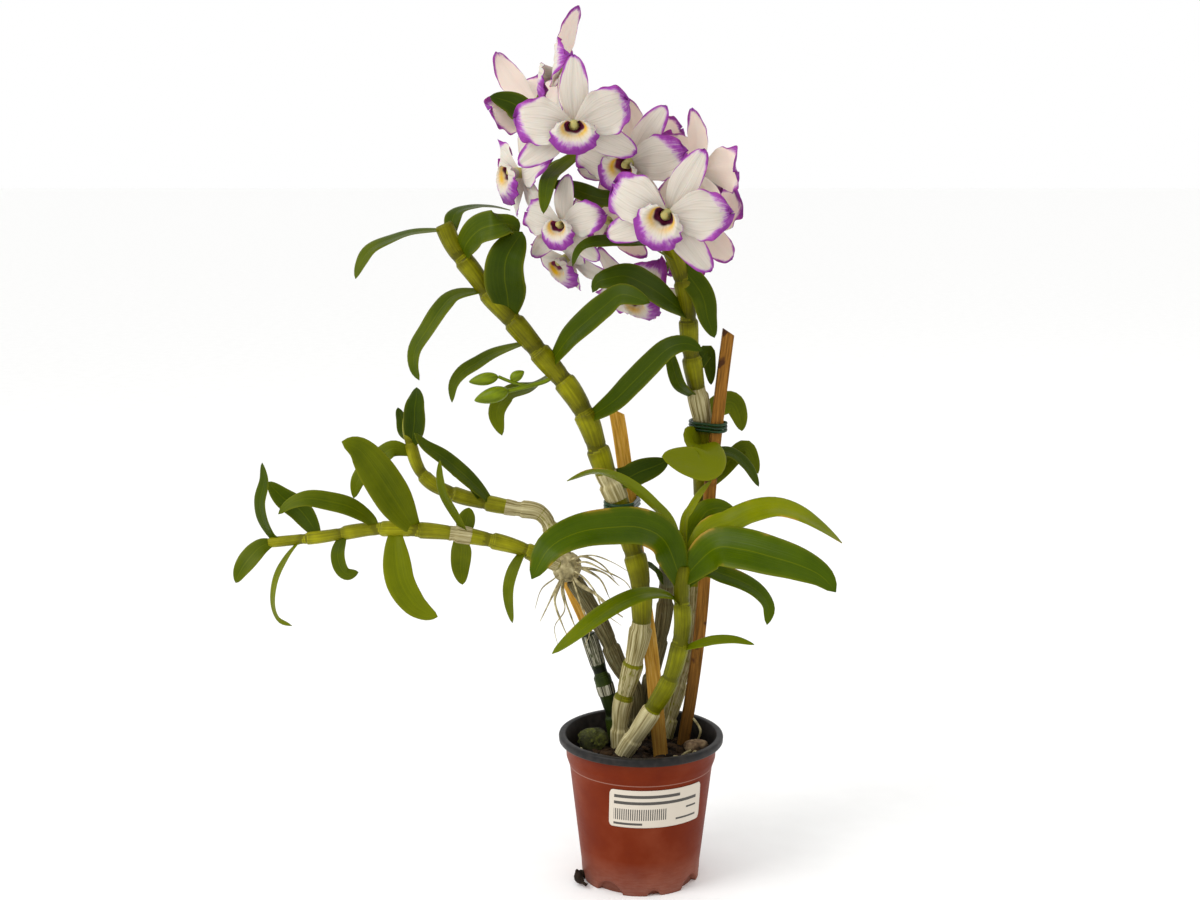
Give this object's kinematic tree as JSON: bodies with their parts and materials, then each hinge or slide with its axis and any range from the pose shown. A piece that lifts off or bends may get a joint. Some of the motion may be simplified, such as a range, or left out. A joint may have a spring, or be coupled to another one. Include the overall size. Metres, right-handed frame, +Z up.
{
  "type": "potted dendrobium orchid",
  "caption": "Nobile-type dendrobium orchid in full bloom, in a nursery pot of bark, with staked canes, strap leaves, purple-edged white blooms and a plantlet on an old cane.",
  "frame": {"origin": "middle of the pot's underside", "axes": "+Z up the plant, -Y to the side that the plant is looked at from, plantlet to -X"},
  "size_m": [0.3559, 0.1412, 0.5183],
  "materials": {
    "pot_plastic": "moulded polypropylene, brown outside and black inside",
    "label_film": "white printed film",
    "bark": "rough, dark and damp",
    "moss": "rough, mossy",
    "stake_wood": "split and sanded, unvarnished",
    "tie_plastic": "green coated wire",
    "orchid_green": "leathery, satin leaves and ribbed papery sheaths",
    "shoot_green": "leathery, satin, young and light",
    "old_cane": "dry papery sheaths over green",
    "petal": "soft, finely veined, purple at the edges"
  },
  "bodies": {
    "root": {"pot": "pot_plastic", "pot_label": "label_film", "bark_mix": "bark", "mossy_chunk": "moss", "brown_chunk": "bark", "root_scrap": "bark", "stake_left": "stake_wood", "stake_right": "stake_wood", "stake_back": "stake_wood", "tie_left": "tie_plastic", "tie_right": "tie_plastic", "cane_left": "orchid_green", "cane_right": "orchid_green", "young_shoot": "shoot_green", "old_cane_grey": "old_cane", "old_cane_mottled": "old_cane", "old_cane_back": "old_cane", "plantlet_roots": "old_cane", "plantlet_lower": "orchid_green", "plantlet_upper": "orchid_green", "bloom_01": "petal", "bloom_02": "petal", "bloom_03": "petal", "bloom_04": "petal", "bloom_05": "petal", "bloom_06": "petal", "bloom_07": "petal", "bloom_08": "petal", "bloom_09": "petal", "bloom_10": "petal", "bloom_11": "petal", "bloom_12": "petal", "bloom_13": "petal"}
  },
  "joints": []
}
